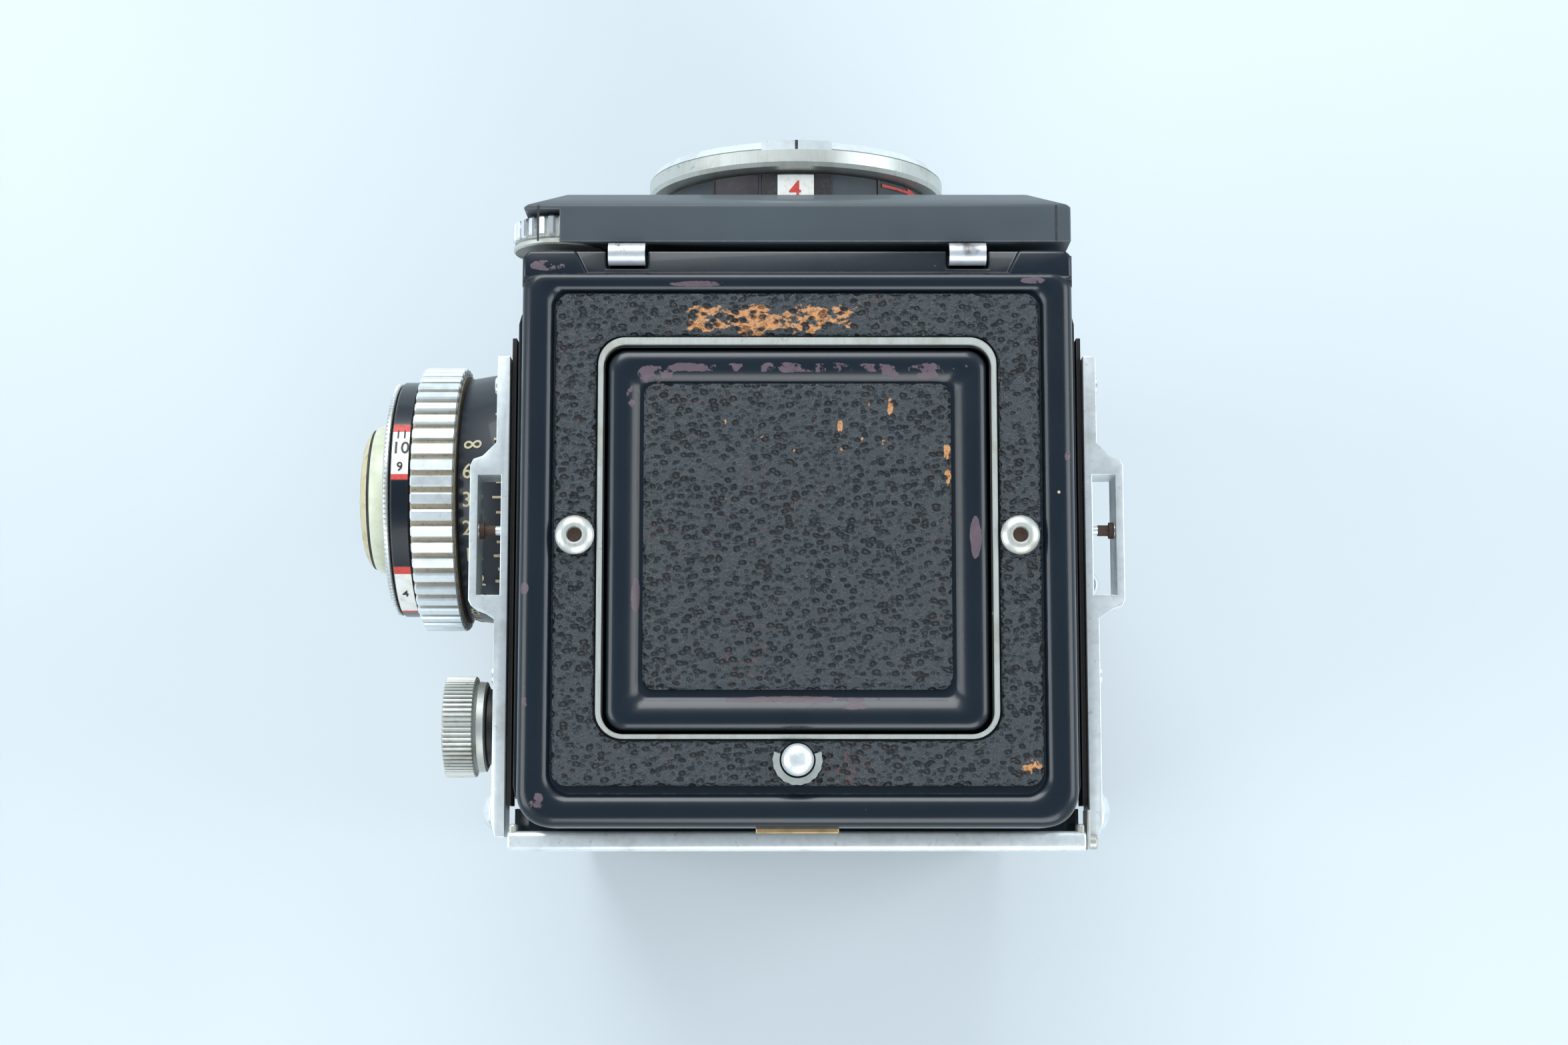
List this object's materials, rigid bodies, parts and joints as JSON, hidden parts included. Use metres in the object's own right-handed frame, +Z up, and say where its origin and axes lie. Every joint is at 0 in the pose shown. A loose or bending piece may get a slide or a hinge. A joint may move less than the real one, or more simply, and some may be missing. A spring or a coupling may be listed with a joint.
{
  "type": "twin lens reflex camera",
  "caption": "Roll film camera with two lenses one above the other, a folding waist-level hood, a focusing knob with light meter dome, and a hinged back.",
  "frame": {"origin": "on the lower face of the tripod plate, under the middle of the body", "axes": "-Y out of the lenses, +X towards the focusing knob, +Z up"},
  "size_m": [0.107, 0.0934, 0.1476],
  "materials": {
    "black_casting": "cast, painted matt black",
    "black_paint": "gloss blue-black enamel with worn edges",
    "black_matt": "matt black",
    "leather": "pebbled black leather with brown wear",
    "chrome": "polished",
    "satin_nickel": "satin, brushed round",
    "worn_nickel": "dull, worn",
    "lens_glass": "coated",
    "ground_glass": "finely ground",
    "mirror": "front-silvered",
    "cream_plastic": "translucent cream",
    "spool_plastic": "moulded"
  },
  "bodies": {
    "camera_body": {"body_casting": "black_casting", "body_leather_left": "leather", "body_leather_right": "leather", "tripod_plate": "satin_nickel", "strap_bracket_left": "chrome", "strap_bracket_right": "chrome", "hood_base": "black_paint", "focusing_screen": "ground_glass", "reflex_mirror": "mirror", "cell_housing": "black_paint", "cell_window": "ground_glass", "back_hinge_bar": "chrome"},
    "front_standard": {"front_plate": "black_casting", "front_leather_left": "leather", "front_leather_right": "leather", "viewing_housing": "black_paint", "viewing_ring": "satin_nickel", "viewing_lens": "lens_glass", "taking_housing": "black_paint", "taking_ring": "satin_nickel", "taking_lens": "lens_glass", "sync_socket": "chrome"},
    "aperture_wheel": {"aperture_wheel": "chrome"},
    "shutter_wheel": {"shutter_wheel": "chrome"},
    "release_button": {"release_button": "chrome"},
    "release_lock": {"release_lock": "worn_nickel"},
    "timer_lever": {"timer_lever": "chrome"},
    "focus_knob": {"focus_scale": "black_paint", "focus_ring": "satin_nickel", "knob_rim": "chrome", "meter_dome": "cream_plastic"},
    "exposure_dial": {"exposure_ring": "black_paint"},
    "cell_screw": {"cell_screw": "chrome"},
    "crank": {"crank": "chrome"},
    "crank_handle": {"crank_handle": "chrome"},
    "counter_dial": {"counter_dial": "satin_nickel"},
    "takeup_spool": {"takeup_spool": "spool_plastic"},
    "supply_spool": {"supply_spool": "spool_plastic"},
    "film_roller_upper": {"film_roller_upper": "satin_nickel"},
    "film_roller_lower": {"film_roller_lower": "satin_nickel"},
    "spool_knob_upper": {"spool_knob_upper": "worn_nickel"},
    "spool_knob_lower": {"spool_knob_lower": "worn_nickel"},
    "hood_lid": {"hood_lid": "black_paint", "lid_leather": "leather", "finder_frame": "satin_nickel", "lid_rivet_left": "satin_nickel", "lid_rivet_right": "satin_nickel", "button_plate": "worn_nickel"},
    "lid_button": {"lid_button": "chrome"},
    "finder_flap": {"finder_flap": "black_paint", "flap_leather": "leather"},
    "hood_side_left": {"hood_side_left": "black_matt"},
    "hood_side_right": {"hood_side_right": "black_matt"},
    "hood_rear": {"hood_rear": "black_matt"},
    "magnifier": {"magnifier_arm": "black_matt", "magnifier_lens": "lens_glass"},
    "back": {"back_door": "black_matt", "back_leather": "leather"},
    "pressure_plate": {"pressure_plate": "black_matt"},
    "back_latch": {"back_latch": "worn_nickel"}
  },
  "joints": [
    {"name": "focus_turn", "type": "hinge", "parent": "camera_body", "child": "focus_knob", "pos_m": [0.04, -0.013, 0.095], "axis": [1, 0, 0], "range_deg": [0, 300]},
    {"name": "standard_slide", "type": "slide", "parent": "camera_body", "child": "front_standard", "axis": [0, -1, 0], "range_m": [0, 0.0061]},
    {"name": "exposure_turn", "type": "hinge", "parent": "focus_knob", "child": "exposure_dial", "pos_m": [0.054, -0.013, 0.095], "axis": [1, 0, 0], "range_deg": [-60, 60]},
    {"name": "aperture_turn", "type": "hinge", "parent": "front_standard", "child": "aperture_wheel", "pos_m": [0.0245, -0.044, 0.08625], "axis": [0, -1, 0], "range_deg": [0, 150]},
    {"name": "shutter_turn", "type": "hinge", "parent": "front_standard", "child": "shutter_wheel", "pos_m": [-0.0245, -0.044, 0.08625], "axis": [0, -1, 0], "range_deg": [0, 180]},
    {"name": "release_press", "type": "slide", "parent": "front_standard", "child": "release_button", "axis": [0, 1, 0], "range_m": [0, 0.002], "stiffness_N_per_m": 400, "springref_m": -0.002},
    {"name": "release_lock_turn", "type": "hinge", "parent": "front_standard", "child": "release_lock", "pos_m": [-0.0255, -0.043, 0.019], "axis": [0, 1, 0], "range_deg": [0, 50]},
    {"name": "timer_turn", "type": "hinge", "parent": "front_standard", "child": "timer_lever", "pos_m": [0.0255, -0.043, 0.046], "axis": [0, 1, 0], "range_deg": [0, 80]},
    {"name": "cell_screw_turn", "type": "hinge", "parent": "camera_body", "child": "cell_screw", "pos_m": [0.0302, -0.0407, 0.1373], "axis": [0, 1, 0], "continuous": true},
    {"name": "crank_turn", "type": "hinge", "parent": "camera_body", "child": "crank", "pos_m": [-0.038, -0.003, 0.084], "axis": [-1, 0, 0], "range_deg": [0, 230]},
    {"name": "handle_fold", "type": "hinge", "parent": "crank", "child": "crank_handle", "pos_m": [-0.0437, -0.003, 0.055], "axis": [0, -1, 0], "range_deg": [0, 90]},
    {"name": "counter_turn", "type": "hinge", "parent": "camera_body", "child": "counter_dial", "pos_m": [-0.036, -0.0225, 0.104], "axis": [-1, 0, 0], "range_deg": [0, 30]},
    {"name": "takeup_turn", "type": "hinge", "parent": "camera_body", "child": "takeup_spool", "pos_m": [0, 0.02, 0.1077], "axis": [-1, 0, 0], "range_deg": [0, 540]},
    {"name": "supply_turn", "type": "hinge", "parent": "camera_body", "child": "supply_spool", "pos_m": [0, -0.018, 0.019], "axis": [1, 0, 0], "continuous": true},
    {"name": "upper_roller_turn", "type": "hinge", "parent": "camera_body", "child": "film_roller_upper", "pos_m": [0, 0.0289, 0.0956], "axis": [1, 0, 0], "continuous": true},
    {"name": "lower_roller_turn", "type": "hinge", "parent": "camera_body", "child": "film_roller_lower", "pos_m": [0, 0.0289, 0.0344], "axis": [1, 0, 0], "continuous": true},
    {"name": "upper_knob_pull", "type": "slide", "parent": "camera_body", "child": "spool_knob_upper", "axis": [1, 0, 0], "range_m": [0, 0.005]},
    {"name": "lower_knob_pull", "type": "slide", "parent": "camera_body", "child": "spool_knob_lower", "axis": [1, 0, 0], "range_m": [0, 0.005]},
    {"name": "lid_open", "type": "hinge", "parent": "camera_body", "child": "hood_lid", "pos_m": [0, -0.0372, 0.1439], "axis": [1, 0, 0], "range_deg": [0, 90]},
    {"name": "side_left_open", "type": "hinge", "parent": "camera_body", "child": "hood_side_left", "pos_m": [0.031, 0, 0.1276], "axis": [0, 1, 0], "range_deg": [0, 90]},
    {"name": "side_right_open", "type": "hinge", "parent": "camera_body", "child": "hood_side_right", "pos_m": [-0.031, 0, 0.1276], "axis": [0, -1, 0], "range_deg": [0, 90]},
    {"name": "rear_open", "type": "hinge", "parent": "camera_body", "child": "hood_rear", "pos_m": [0, 0.031, 0.1356], "axis": [-1, 0, 0], "range_deg": [0, 90]},
    {"name": "magnifier_swing", "type": "hinge", "parent": "hood_lid", "child": "magnifier", "pos_m": [0, 0.0245, 0.1379], "axis": [1, 0, 0], "range_deg": [0, 90]},
    {"name": "flap_press", "type": "hinge", "parent": "hood_lid", "child": "finder_flap", "pos_m": [0, -0.0245, 0.1436], "axis": [-1, 0, 0], "range_deg": [0, 4], "stiffness_Nm_per_rad": 0.5, "springref_deg": -2.86},
    {"name": "lid_button_press", "type": "slide", "parent": "hood_lid", "child": "lid_button", "axis": [0, 0, -1], "range_m": [0, 0.0008], "stiffness_N_per_m": 500, "springref_m": -0.002},
    {"name": "back_open", "type": "hinge", "parent": "camera_body", "child": "back", "pos_m": [0, 0.0355, 0.1251], "axis": [1, 0, 0], "range_deg": [0, 100]},
    {"name": "pressure_plate_slide", "type": "slide", "parent": "back", "child": "pressure_plate", "axis": [0, 1, 0], "range_m": [0, 0.0007], "stiffness_N_per_m": 300, "springref_m": -0.002},
    {"name": "latch_turn", "type": "hinge", "parent": "camera_body", "child": "back_latch", "pos_m": [0, -0.0125, 0.0004], "axis": [0, 0, 1], "range_deg": [0, 75]}
  ],
  "couplings": [
    {"joint": "focus_turn", "follows": "standard_slide", "rad_per_m": 858.3},
    {"joint": "counter_turn", "follows": "crank_turn", "ratio": 0.12},
    {"joint": "takeup_turn", "follows": "crank_turn", "ratio": 2.3},
    {"joint": "side_left_open", "follows": "lid_open", "ratio": 1},
    {"joint": "side_right_open", "follows": "lid_open", "ratio": 1},
    {"joint": "rear_open", "follows": "lid_open", "ratio": 1},
    {"joint": "magnifier_swing", "follows": "lid_open", "ratio": 1}
  ]
}
